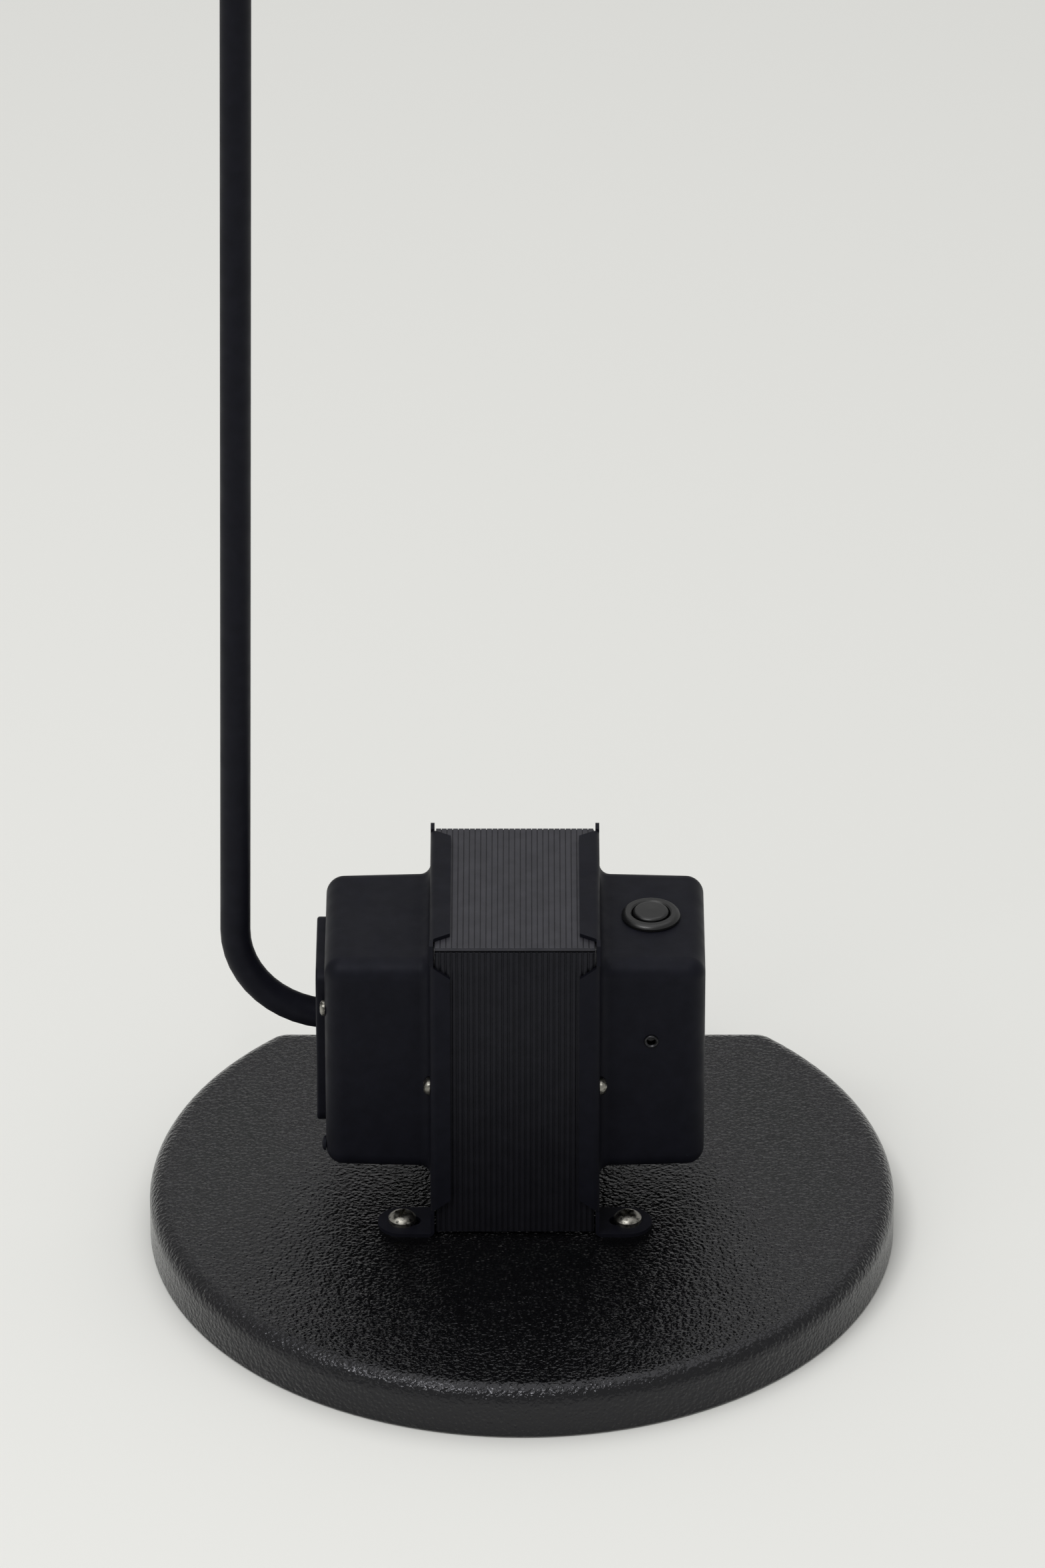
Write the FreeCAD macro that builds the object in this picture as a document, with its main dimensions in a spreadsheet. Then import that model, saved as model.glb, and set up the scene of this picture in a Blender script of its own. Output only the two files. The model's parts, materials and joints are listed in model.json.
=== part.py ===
import FreeCAD, Part
import math
import os
import re
import Sketcher
from FreeCAD import Placement, Rotation, Vector

# Low-voltage floor lamp: a D-shaped cast base carries a clamped transformer, whose left end bell holds a bent
# tube stem.  A swivelling elbow on the stem carries an arm and a tilting head.  Millimetres, +Z up, origin at
# the centre of the base's arc on the floor.  The flat of the base is at the back (+Y), and the push-button is
# on the right.

DIMENSIONS = [
    # cast base
    ("base_radius", 125, "plan radius of the base"),
    ("base_flat", 93, "distance from the centre to the flat back"),
    ("base_corner", 9, "plan radius where the flat meets the arc"),
    ("base_top", 18.5, "height of the base's top face"),
    ("base_edge", 6, "rounding of the top edge"),
    ("pad_drop", 0.8, "how far the pad stands below the casting"),
    ("pad_depth", 1.4, "depth of the pad's recess"),
    ("pad_inset", 6, "pad edge inside the base edge"),
    # transformer frame: its centre on the base
    ("core_x", -2.3, "transformer centre from the base centre, sideways"),
    ("core_y", 3.2, "transformer centre from the base centre, front to back"),
    ("cover_width", 52.6, "width of the ribbed covers"),
    ("cover_depth", 74.1, "front rib crests to rear rib crests"),
    ("cover_top", 113.4, "top rib crests above the base"),
    ("cover_foot", 1.2, "gap below the front and rear covers"),
    ("cover_plate", 0.7, "cover sheet under the ribs"),
    ("rib_height", 0.5, "ribs above the cover sheet"),
    ("rib_round", 0.42, "rounding round the crest of an upright rib"),
    ("top_rib_round", 0.16, "rounding round the crest of a rib on the top cover"),
    ("cover_groove", 0.8, "groove between the top cover and an upright cover"),
    ("rib_count", 28, "ribs across each cover"),
    ("cover_gap", 0.5, "gap from a cover's edge to a flange"),
    # end bells
    ("bell_sheet", 1.3, "sheet thickness of an end bell"),
    ("bell_reach", 62.8, "transformer centre to a bell's end face"),
    ("bell_half", 30.7, "half the bell's depth at its flange"),
    ("bell_low", 20.8, "lowest line of the bell at its flange"),
    ("bell_high", 102.3, "highest line of the bell at its flange"),
    ("bell_round", 6, "outer edge rounding of a bell"),
    ("bell_draft", 1.0, "draft of the drawn bell in degrees"),
    ("bell_neck", 3.6, "rounding where the bell leaves its flange"),
    ("tab_reach", 6.8, "folded tab from the flange's outer face"),
    ("tab_low", 9.6, "lower end of a front tab at the fold"),
    ("tab_high", 107.1, "upper end of a front tab at the fold"),
    ("tab_half", 34.5, "half length of the top tab at the fold"),
    ("tab_slant", 5.2, "how much a tab narrows at each end"),
    ("fold_round", 2.2, "outside radius of the folds"),
    ("foot_tip", 45.7, "transformer centre to the tip of a foot"),
    ("foot_width", 16.2, "width of a foot"),
    ("foot_screw", 37.6, "transformer centre to a foot screw"),
    ("foot_bend", 2.4, "outside radius of the bend between flange and foot"),
    ("slot_width", 5.6, "width of the foot slots"),
    ("slot_near", 34.2, "slot end centre near the core"),
    ("arch_top", 9, "height of the arch between the feet"),
    # core and coil
    ("stack_half", 26.7, "half the lamination stack"),
    ("core_low", 12.1, "underside of the lamination stack"),
    ("core_leg", 12, "width of an outer leg and of a yoke"),
    ("notch_radius", 2.2, "half-round notch for the core screws"),
    ("coil_wall", 1.2, "bobbin wall"),
    ("coil_play", 0.3, "play between bobbin and core"),
    ("coil_build", 7.6, "winding build above the bobbin"),
    ("coil_split", 0.6, "share of the window that holds the primary"),
    ("coil_low", 25, "underside of the bobbin above the base"),
    ("coil_high", 96.5, "top of the bobbin above the base"),
    ("core_screw_y", 34.3, "core screws in front of and behind the centre"),
    ("core_screw_z", 57.4, "height of the core screws above the base"),
    # stem
    ("stem_radius", 5, "outside radius of the stem tube"),
    ("stem_bore", 4, "inside radius of the stem tube"),
    ("stem_out", 92.6, "transformer centre to the stem's foot, sideways"),
    ("stem_exit", 63.8, "height of the stem's lower leg above the base"),
    ("stem_bend", 33, "bend radius of the stem's centre line"),
    ("stem_tail", 46.5, "transformer centre to the hidden end of the stem"),
    ("stem_rise", 780, "length of the upright stem above its bend"),
    ("stem_lean", 0.81, "lean of the stem towards the base's middle, in degrees"),
    # side plate of the left bell
    ("plate_half", 20, "half width of the side plate"),
    ("plate_tall", 59, "height of the side plate"),
    ("plate_mid", 62.2, "middle of the side plate above the base"),
    ("plate_thick", 3, "thickness of the side plate"),
    ("plate_corner", 5, "corner radius of the side plate"),
    ("plate_screw", 24, "side plate screws above and below its middle"),
    ("side_hole_y", 23.5, "earth screw and hole plug in front of the transformer's middle"),
    ("earth_z", 81.3, "height of the earth screw above the base"),
    ("plug_z", 28, "height of the hole plug above the base"),
    # push-button switch
    ("switch_x", 45, "switch axis from the transformer centre"),
    ("eyelet_z", 72.7, "height of the eyelet above the base"),
    ("cord_z", 36, "height of the cord inlet above the base"),
    ("bezel_radius", 9.7, "outside radius of the bezel"),
    ("bezel_height", 1.9, "bezel above the bell"),
    ("switch_body", 7.9, "radius of the switch body"),
    ("switch_deep", 21, "switch body below the bell's top"),
    ("cap_radius", 5.85, "radius of the push cap"),
    ("cap_rise", 2.7, "top of the push cap above the bell"),
    # elbow, arm and head
    ("ferrule_radius", 8, "radius of the stem's top ferrule"),
    ("elbow_height", 32, "elbow axis above the ferrule"),
    ("ear_inner", 6.5, "inside face of a fork ear"),
    ("ear_outer", 9.5, "outside face of a fork ear"),
    ("ear_radius", 8, "outside radius of a fork ear"),
    ("pin_radius", 3, "radius of the hinge screws"),
    ("arm_length", 380, "elbow axis to head axis"),
    ("arm_radius", 4, "outside radius of the arm tube"),
    ("arm_rise", 8, "upward tilt of the arm at rest, in degrees"),
    ("shade_mouth", 46, "radius of the shade's mouth"),
    ("shade_crown", 15, "radius of the shade's crown"),
    ("shade_tall", 52, "height of the shade"),
    ("shade_sheet", 1.0, "sheet thickness of the shade"),
]

doc = FreeCAD.newDocument("FloorLamp")
sheet = doc.addObject("Spreadsheet::Sheet", "Dims")
for row, (alias, number, note) in enumerate(DIMENSIONS, 1):
    sheet.set(f"A{row}", alias)
    sheet.set(f"B{row}", str(number))
    sheet.setAlias(f"B{row}", alias)
    sheet.set(f"C{row}", note)
doc.recompute()

ALIAS = re.compile(r"[a-z]+_[a-z_]+")
NODES = []


# ---------------------------------------------------------------- helpers
def bound(text):
    """A formula over the sheet's aliases, written for an object outside the sheet."""
    return ALIAS.sub(lambda word: "Dims." + word.group(0), str(text))


def size(text):
    """The number a formula gives now."""
    return float(sheet.evalExpression(str(text)))


def new_body(label, frame=None, turn=0):
    body = doc.addObject("PartDesign::Body", label)
    body.Label = label
    if frame == "transformer":
        for axis, text in zip("xyz", ("core_x", "core_y", "base_top")):
            body.setExpression(f"Placement.Base.{axis}", bound(text))
        body.Placement.Rotation = Rotation(Vector(0, 0, 1), turn)
    elif frame is not None:
        body.Placement = frame
    NODES.append(body)
    return body


def sketch(body, plane="XY_Plane", lift="0"):
    """A sketch on one of the body's own planes, lifted along the plane's normal (XZ's normal is -Y)."""
    drawn = body.newObject("Sketcher::SketchObject", body.Name + "_sketch")
    support = next(item for item in body.Origin.OriginFeatures if item.Role == plane)
    drawn.AttachmentSupport = [(support, "")]
    drawn.MapMode = "FlatFace"
    drawn.setExpression("AttachmentOffset.Base.z", bound(lift))
    return drawn


def pin_point(drawn, geometry, point, across, along):
    for kind, axis, text in (("DistanceX", -2, across), ("DistanceY", -1, along)):
        number = size(text)
        if abs(number) < 1e-9:
            drawn.addConstraint(Sketcher.Constraint("PointOnObject", geometry, point, axis))
        else:
            index = drawn.addConstraint(Sketcher.Constraint(kind, -1, 1, geometry, point, number))
            drawn.setExpression(f"Constraints[{index}]", bound(text))


def arc_between(start, end, radius):
    """The short arc from start to end; a positive radius puts its centre on the left of the chord."""
    chord = end - start
    left = Vector(-chord.y, chord.x, 0).normalize()
    side = math.copysign(1, radius)
    reach = math.sqrt(max(radius * radius - chord.Length ** 2 / 4, 0))
    centre = (start + end) * 0.5 + left * side * reach
    return Part.Arc(start, centre - left * side * abs(radius), end)


def outline(drawn, corners):
    """A closed outline.  A corner is (across, along) or, where an arc leaves it, (across, along, radius)."""
    points = [Vector(size(corner[0]), size(corner[1]), 0) for corner in corners]
    count = len(points)
    first = drawn.GeometryCount
    ends = []
    for index, corner in enumerate(corners):
        start, end = points[index], points[(index + 1) % count]
        if len(corner) == 3:
            piece = arc_between(start, end, size(corner[2]))
        else:
            piece = Part.LineSegment(start, end)
        geometry = drawn.addGeometry(piece, False)
        forward = (drawn.getPoint(geometry, 1) - start).Length < 1e-6
        ends.append((1, 2) if forward else (2, 1))
        if len(corner) == 3:
            bend = drawn.addConstraint(Sketcher.Constraint("Radius", geometry, abs(size(corner[2]))))
            drawn.setExpression(f"Constraints[{bend}]", f"abs({bound(corner[2])})")
    for index, corner in enumerate(corners):
        follower = (index + 1) % count
        drawn.addConstraint(Sketcher.Constraint("Coincident", first + index, ends[index][1],
                                                first + follower, ends[follower][0]))
        pin_point(drawn, first + index, ends[index][0], corner[0], corner[1])


def rectangle(drawn, left, right, low, high):
    outline(drawn, [(left, low), (right, low), (right, high), (left, high)])


def rounded_rectangle(drawn, left, right, low, high, radius):
    a, b, c, d = f"({left})", f"({right})", f"({low})", f"({high})"
    outline(drawn, [(f"{a} + {radius}", c), (f"{b} - {radius}", c, radius), (b, f"{c} + {radius}"),
                    (b, f"{d} - {radius}", radius), (f"{b} - {radius}", d), (f"{a} + {radius}", d, radius),
                    (a, f"{d} - {radius}"), (a, f"{c} + {radius}", radius)])


def circle(drawn, across, along, radius):
    ring = Part.Circle(Vector(size(across), size(along), 0), Vector(0, 0, 1), size(radius))
    geometry = drawn.addGeometry(ring, False)
    index = drawn.addConstraint(Sketcher.Constraint("Radius", geometry, size(radius)))
    drawn.setExpression(f"Constraints[{index}]", bound(radius))
    pin_point(drawn, geometry, 3, across, along)


def finished(body, feature):
    drawn = getattr(feature, "Profile", None)
    body.Tip = feature
    doc.recompute()
    if feature.Shape.isNull() or "Invalid" in feature.State:
        raise RuntimeError(feature.Name + " failed")
    if drawn:
        drawn[0].Visibility = False
    return feature


def pad(body, drawn, length, taper=None):
    feature = body.newObject("PartDesign::Pad", body.Name + "_pad")
    feature.Profile = drawn
    feature.setExpression("Length", bound(length))
    if taper is not None:
        feature.setExpression("TaperAngle", bound(taper))
    return finished(body, feature)


def pocket(body, drawn, depth, forward=False):
    """Cuts against the sketch's normal, or along it when forward; a cut that removes nothing is an error."""
    before = body.Tip.Shape.Volume
    feature = body.newObject("PartDesign::Pocket", body.Name + "_pocket")
    feature.Profile = drawn
    feature.setExpression("Length", bound(depth))
    feature.Reversed = forward
    finished(body, feature)
    if feature.Shape.Volume > before - 1e-3:
        raise RuntimeError(feature.Name + " removes nothing")
    return feature


def turned(label, profile, frame=None):
    """A turned piece about Z, from its half section as (radius, height) corners."""
    body = new_body(label, frame)
    drawn = sketch(body, "XZ_Plane")
    outline(drawn, profile)
    feature = body.newObject("PartDesign::Revolution", body.Name + "_turned")
    feature.Profile = drawn
    feature.ReferenceAxis = (drawn, ["V_Axis"])
    feature.Angle = 360
    finished(body, feature)
    return body


def polar(body, feature, count):
    pattern = body.newObject("PartDesign::PolarPattern", body.Name + "_round")
    pattern.Originals = [feature]
    pattern.Axis = (feature.Profile[0], ["N_Axis"])
    pattern.Angle = 360
    pattern.Occurrences = count
    return finished(body, pattern)


def fillet(body, amount, chosen):
    """A fillet on the edges of the body so far that the test picks."""
    base = body.Tip
    names = [f"Edge{index}" for index, edge in enumerate(base.Shape.Edges, 1) if chosen(edge)]
    if not names:
        raise RuntimeError(f"no edges to round on {body.Label}")
    feature = body.newObject("PartDesign::Fillet", body.Name + "_fillet")
    feature.Base = (base, names)
    feature.setExpression("Radius", bound(amount))
    return finished(body, feature)


def box_test(low, high, slack=1e-4):
    """A test for edges that lie wholly in the box from low to high; None leaves a side open."""
    def test(edge):
        bounds = edge.BoundBox
        least = (bounds.XMin, bounds.YMin, bounds.ZMin)
        most = (bounds.XMax, bounds.YMax, bounds.ZMax)
        above = all(limit is None or value > limit - slack for value, limit in zip(least, low))
        below = all(limit is None or value < limit + slack for value, limit in zip(most, high))
        return above and below
    return test


def group(label, shape, places):
    """Identical fasteners: copies of one shape as separate solids in one node."""
    feature = doc.addObject("Part::Feature", label)
    feature.Label = label
    copies = []
    for place in places:
        copy = shape.copy()
        copy.Placement = place.multiply(copy.Placement)
        copies.append(copy)
    feature.Shape = Part.makeCompound(copies)
    NODES.append(feature)
    return feature


def solid_node(label, shape, frame=None):
    feature = doc.addObject("Part::Feature", label)
    feature.Label = label
    feature.Shape = shape
    if frame is not None:
        feature.Placement = frame
    NODES.append(feature)
    return feature


def seed(body):
    """A body that only serves as the pattern for a group isn't a node itself."""
    NODES.remove(body)
    return body.Shape.copy()


def cross_recess(body, top, reach, width, depth):
    """A cross recess sunk from the height top."""
    drawn = sketch(body, "XY_Plane", top)
    a, b = f"{reach}", f"{width} / 2"
    outline(drawn, [(a, f"-({b})"), (a, b), (b, b), (b, a), (f"-({b})", a), (f"-({b})", b),
                    (f"-{a}", b), (f"-{a}", f"-({b})"), (f"-({b})", f"-({b})"), (f"-({b})", f"-{a}"),
                    (b, f"-{a}"), (b, f"-({b})")])
    pocket(body, drawn, depth)


def pan_screw(label, shank, length, head, head_height, frame=None):
    """A cross-recessed pan-head screw along Z: its head sits on the height 0, its shank points down."""
    body = turned(label, [(0, f"-{length}"), (f"{shank} - 0.4", f"-{length}"), (shank, f"0.4 - {length}"),
                          (shank, 0), (head, 0), (head, f"{head_height} * 0.45", f"{head}"),
                          (f"{head} * 0.45", head_height), (0, head_height)], frame)
    cross_recess(body, head_height, f"{head} * 0.56", f"{head} * 0.25", f"{head_height} * 0.65")
    return body


def at(x, y, z, axis=(0, 0, 1), angle=0):
    return Placement(Vector(x, y, z), Rotation(Vector(*axis), angle))


FLANGE_IN = "(cover_width / 2 + cover_gap)"
FLANGE_OUT = f"({FLANGE_IN} + bell_sheet)"
FRONT = "(cover_depth / 2 + bell_sheet + 0.05)"
CREST = "(cover_top + bell_sheet + 0.05)"
FOOT_Y = f"({FRONT} - foot_width / 2)"
CORE_HALF = "(cover_depth / 2 - cover_plate - rib_height - 0.1)"
CORE_HIGH = "(cover_top - cover_plate - rib_height - 0.1)"
WINDOW_LOW = "(core_low + core_leg)"
WINDOW_HIGH = f"({CORE_HIGH} - core_leg)"

CORE = Vector(size("core_x"), size("core_y"), size("base_top"))
TRANSFORMER = Placement(CORE, Rotation())
ALONG_X = Rotation(Vector(0, 1, 0), 90)
ALONG_MINUS_X = Rotation(Vector(0, 1, 0), -90)


# ---------------------------------------------------------------- cast base
def d_outline(drawn, inset):
    """The D: a big arc, a straight back and two rounded corners, all brought in by the inset."""
    radius = f"(base_radius - {inset})"
    flat = f"(base_flat - {inset})"
    corner = "base_corner"
    turn = f"({flat} - {corner})"
    reach = f"({radius} - {corner})"
    across = f"sqrt({reach} * {reach} - {turn} * {turn})"
    scale = f"{radius} / {reach}"
    outline(drawn, [(across, flat), (f"-{across}", flat, corner),
                    (f"-{across} * {scale}", f"{turn} * {scale}", radius),
                    (0, f"-{radius}", radius), (f"{across} * {scale}", f"{turn} * {scale}", corner)])


FOOT_HOLES = [(f"core_x + {side} * foot_screw", f"core_y + {end} * {FOOT_Y}")
              for side in (-1, 1) for end in (-1, 1)]


def base_casting():
    body = new_body("base_casting")
    drawn = sketch(body, "XY_Plane", "pad_drop")
    d_outline(drawn, "0")
    pad(body, drawn, "base_top - pad_drop")
    top = size("base_top")
    fillet(body, "base_edge", box_test((None, None, top), (None, None, top)))
    recess = sketch(body, "XY_Plane", "pad_drop")
    d_outline(recess, "pad_inset")
    pocket(body, recess, "pad_depth", forward=True)
    holes = sketch(body, "XY_Plane", "base_top")
    for across, along in FOOT_HOLES:
        circle(holes, across, along, "2.52")
    pocket(body, holes, "12")


def base_pad():
    body = new_body("base_pad")
    drawn = sketch(body)
    d_outline(drawn, "(pad_inset + 0.2)")
    pad(body, drawn, "pad_drop + pad_depth - 0.05")


# ---------------------------------------------------------------- ribbed covers
def ribbed_cover(label, plane, lift, low, high, outward, rib_share, rounding):
    """A thin cover whose ribs run along the sketch's second axis; outward is +1 along the sketch's normal."""
    body = new_body(label, "transformer")
    inner = f"{lift} - ({outward}) * (cover_plate + rib_height)"
    base = inner if outward > 0 else f"{lift} + rib_height"
    drawn = sketch(body, plane, base)
    rectangle(drawn, "-cover_width / 2", "cover_width / 2", low, high)
    pad(body, drawn, "cover_plate")
    pitch = "cover_width / rib_count"
    rib = sketch(body, plane, f"{lift} - rib_height" if outward > 0 else lift)
    rectangle(rib, "-cover_width / 2", f"-cover_width / 2 + {pitch} * {rib_share}", low, high)
    first = pad(body, rib, "rib_height")
    rounded = fillet(body, rounding, rib_crest(plane, size(lift)))
    pattern = body.newObject("PartDesign::LinearPattern", body.Name + "_ribs")
    pattern.Originals = [first, rounded]
    pattern.Direction = (rib, ["H_Axis"])
    pattern.setExpression("Length", bound("cover_width * (rib_count - 1) / rib_count"))
    pattern.setExpression("Occurrences", bound("rib_count"))
    return finished(body, pattern)


def rib_crest(plane, level):
    """The edges round the first rib's crest."""
    if plane == "XY_Plane":
        return box_test((None, None, level), (None, None, level), 1e-3)
    return box_test((None, -level, None), (None, -level, None), 1e-3)


def covers():
    ribbed_cover("top_cover", "XY_Plane", "cover_top", "-cover_depth / 2", "cover_depth / 2", 1,
                 0.9, "top_rib_round")
    under = "cover_top - cover_plate - rib_height - cover_groove"
    ribbed_cover("front_cover", "XZ_Plane", "cover_depth / 2", "cover_foot", under, 1, 0.72, "rib_round")
    ribbed_cover("rear_cover", "XZ_Plane", "-cover_depth / 2", "cover_foot", under, -1, 0.72, "rib_round")


# ---------------------------------------------------------------- end bells
def bell_block(body, inset, start, end):
    """A drafted block along X with rounded end and long edges, all brought in by the inset."""
    drawn = sketch(body, "YZ_Plane", start)
    rectangle(drawn, f"{inset} - bell_half", f"bell_half - {inset}",
              f"bell_low + {inset}", f"bell_high - {inset}")
    pad(body, drawn, f"{end} - {start}", "-bell_draft")
    near = size(start)
    fillet(body, f"bell_round - {inset}", lambda edge: edge.BoundBox.XMax > near + 1)


def bell_shell(body):
    bell_block(body, "0", FLANGE_IN, "bell_reach")
    hollow = new_body(body.Label + "_hollow")
    NODES.remove(hollow)
    bell_block(hollow, "bell_sheet", f"({FLANGE_IN} - 2)", "(bell_reach - bell_sheet)")
    cut = body.newObject("PartDesign::Boolean", body.Name + "_hollowed")
    cut.Type = "Cut"
    cut.setObjects([hollow])
    finished(body, cut)


def flange(body):
    drawn = sketch(body, "YZ_Plane", FLANGE_IN)
    rectangle(drawn, f"-{FRONT}", FRONT, 0, CREST)
    rectangle(drawn, "3.5 - bell_half", "bell_half - 3.5", "bell_low + 3.5", "bell_high - 3.5")
    pad(body, drawn, "bell_sheet")
    arch = sketch(body, "YZ_Plane", FLANGE_OUT)
    arch_half = f"({FRONT} - foot_width)"
    rectangle(arch, f"-{arch_half}", arch_half, "-1", "arch_top")
    pocket(body, arch, "bell_sheet * 2")


def screw_seats(body):
    """Flat seats for the core screws' heads and nuts, cut into the rounded neck, and their holes."""
    seats = sketch(body, "YZ_Plane", f"{FLANGE_OUT} + 5")
    for end in (-1, 1):
        circle(seats, f"{end} * core_screw_y", "core_screw_z", "3.3")
    pocket(body, seats, "5")
    holes = sketch(body, "YZ_Plane", FLANGE_OUT)
    for end in (-1, 1):
        circle(holes, f"{end} * core_screw_y", "core_screw_z", "1.55")
    pocket(body, holes, "bell_sheet * 2")


def tabs(body):
    edge = FLANGE_OUT
    tip = f"({FLANGE_OUT} - tab_reach)"
    upright = [(edge, "tab_low"), (edge, "tab_high"),
               (tip, "tab_high - tab_slant"), (tip, "tab_low + tab_slant")]
    for lift in (f"{FRONT} - bell_sheet", f"-{FRONT}"):
        drawn = sketch(body, "XZ_Plane", lift)
        outline(drawn, upright)
        pad(body, drawn, "bell_sheet")
    flat = [(edge, "-tab_half"), (edge, "tab_half"), (tip, "tab_half - tab_slant * 0.8"),
            (tip, "tab_slant * 0.8 - tab_half")]
    drawn = sketch(body, "XY_Plane", f"{CREST} - bell_sheet")
    outline(drawn, flat)
    pad(body, drawn, "bell_sheet")


def round_folds(body):
    """Rounds the outside of the three folds between the flange and its tabs."""
    start, beyond = f"{FLANGE_OUT} - fold_round", f"{FLANGE_OUT} + 1"
    for side in (-1, 1):
        drawn = sketch(body, "XY_Plane", "tab_high")
        edge, inside, outside = (f"{side} * ({FRONT} + {step})" for step in ("0", "-1 * fold_round", "1"))
        outline(drawn, [(start, edge, f"{-side} * fold_round"), (FLANGE_OUT, inside), (beyond, inside),
                        (beyond, outside), (start, outside)])
        pocket(body, drawn, "tab_high - tab_low")
    drawn = sketch(body, "XZ_Plane", "tab_half")
    outline(drawn, [(start, CREST, "-fold_round"), (FLANGE_OUT, f"{CREST} - fold_round"),
                    (beyond, f"{CREST} - fold_round"), (beyond, f"{CREST} + 1"), (start, f"{CREST} + 1")])
    pocket(body, drawn, "2 * tab_half")


def feet(body):
    """Two feet with rounded tips, bent out of the flange, each with a slotted hole."""
    straight = "(foot_tip - foot_width / 2)"
    half = "slot_width / 2"
    far = "(foot_screw + 1.6)"
    for end in (-1, 1):
        middle, round_tip = f"{end} * {FOOT_Y}", f"{-end} * foot_width / 2"
        inner = f"{end} * ({FRONT} - foot_width)"
        drawn = sketch(body)
        outline(drawn, [(FLANGE_IN, f"{end} * {FRONT}"), (straight, f"{end} * {FRONT}", round_tip),
                        ("foot_tip", middle, round_tip), (straight, inner), (FLANGE_IN, inner)])
        pad(body, drawn, "bell_sheet")
    bend = sketch(body, "XZ_Plane", f"{FRONT} + 1")
    outline(bend, [(FLANGE_IN, "foot_bend", "foot_bend"), (f"{FLANGE_IN} + foot_bend", 0),
                   (f"{FLANGE_IN} + foot_bend", "-1"), (f"{FLANGE_IN} - 1", "-1"),
                   (f"{FLANGE_IN} - 1", "foot_bend")])
    pocket(body, bend, f"2 * {FRONT} + 2")
    slots = sketch(body, "XY_Plane", "bell_sheet")
    for end in (-1, 1):
        middle = f"{end} * {FOOT_Y}"
        outline(slots, [("slot_near", f"{middle} + {half}", half), (f"slot_near - {half}", middle, half),
                        ("slot_near", f"{middle} - {half}"), (far, f"{middle} - {half}", half),
                        (f"{far} + {half}", middle, half), (far, f"{middle} + {half}")])
    pocket(body, slots, "bell_sheet * 2")


def end_bell(label, turn):
    """A drawn sheet bell with its flange, folded tabs and feet, reaching along +X of its own frame."""
    body = new_body(label, "transformer", turn)
    bell_shell(body)
    flange(body)
    neck, half, low, high = (size(text) for text in (FLANGE_OUT, "bell_half", "bell_low", "bell_high"))
    around = box_test((neck, -half, low), (neck, half, high), 1e-3)

    def outer(edge):
        bounds = edge.BoundBox
        beside = max(bounds.YMax, -bounds.YMin) > half - 0.3
        return around(edge) and (beside or bounds.ZMax > high - 0.3 or bounds.ZMin < low + 0.3)

    fillet(body, "bell_neck", outer)
    screw_seats(body)
    tabs(body)
    round_folds(body)
    feet(body)
    return body


def right_end_bell():
    body = end_bell("right_end_bell", 0)
    top = sketch(body, "XY_Plane", "bell_high + 2")
    circle(top, "switch_x", "0", "switch_body + 0.1")
    pocket(body, top, "8")
    front = sketch(body, "XZ_Plane", "bell_half + 2")
    circle(front, "switch_x", "eyelet_z", "1.95")
    pocket(body, front, "8")
    rear = sketch(body, "XZ_Plane", "-bell_half - 2")
    circle(rear, "switch_x", "cord_z", "6.1")
    pocket(body, rear, "8", forward=True)


def left_end_bell():
    body = end_bell("left_end_bell", 180)
    side = sketch(body, "YZ_Plane", "bell_reach + 2")
    stem_slot(side)
    for end in (-1, 1):
        circle(side, 0, f"plate_mid + {end} * plate_screw", "1.6")
    for height in ("earth_z", "plug_z"):
        circle(side, "side_hole_y", height, "1.6")
    pocket(body, side, "8")


def stem_slot(drawn):
    """The slot that the bending tube passes through."""
    half = "(stem_radius + 0.4)"
    low, high = "(stem_exit - 0.1)", "(stem_exit + 1.2)"
    outline(drawn, [(f"-{half}", high), (f"-{half}", low, half), (0, f"{low} - {half}", half), (half, low),
                    (half, high, half), (0, f"{high} + {half}", half)])


# ---------------------------------------------------------------- core and coil
def core():
    leg_in = f"({CORE_HALF} - core_leg)"
    lower = new_body("core_e_laminations", "transformer")
    drawn = sketch(lower, "YZ_Plane", "-stack_half")
    outline(drawn, [(f"-{CORE_HALF}", "core_low"), (CORE_HALF, "core_low"), (CORE_HALF, WINDOW_HIGH),
                    (leg_in, WINDOW_HIGH), (leg_in, WINDOW_LOW), ("core_leg", WINDOW_LOW),
                    ("core_leg", WINDOW_HIGH), ("-core_leg", WINDOW_HIGH), ("-core_leg", WINDOW_LOW),
                    (f"-{leg_in}", WINDOW_LOW), (f"-{leg_in}", WINDOW_HIGH), (f"-{CORE_HALF}", WINDOW_HIGH)])
    pad(lower, drawn, "stack_half * 2")
    notches = sketch(lower, "YZ_Plane", "stack_half")
    for end in (-1, 1):
        circle(notches, f"{end} * core_screw_y", "core_screw_z", "notch_radius")
    pocket(lower, notches, "stack_half * 2")
    upper = new_body("core_i_laminations", "transformer")
    bar = sketch(upper, "YZ_Plane", "-stack_half")
    rectangle(bar, f"-{CORE_HALF}", CORE_HALF, WINDOW_HIGH, CORE_HIGH)
    pad(upper, bar, "stack_half * 2")


TUBE_X = "(stack_half + coil_play + coil_wall)"
TUBE_Y = "(core_leg + coil_play + coil_wall)"
SPLIT = "(coil_low + (coil_high - coil_low) * coil_split)"


def ring_pad(body, low, high, inner, outer, corner=None):
    """A rectangular ring round the centre leg; inner and outer count from the bobbin tube."""
    drawn = sketch(body, "XY_Plane", low)
    across, along = f"({TUBE_X} + {outer})", f"({TUBE_Y} + {outer})"
    if corner is None:
        rectangle(drawn, f"-{across}", across, f"-{along}", along)
    else:
        rounded_rectangle(drawn, f"-{across}", across, f"-{along}", along, corner)
    rectangle(drawn, f"-({TUBE_X} + {inner})", f"{TUBE_X} + {inner}",
              f"-({TUBE_Y} + {inner})", f"{TUBE_Y} + {inner}")
    pad(body, drawn, f"{high} - {low}")


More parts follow.
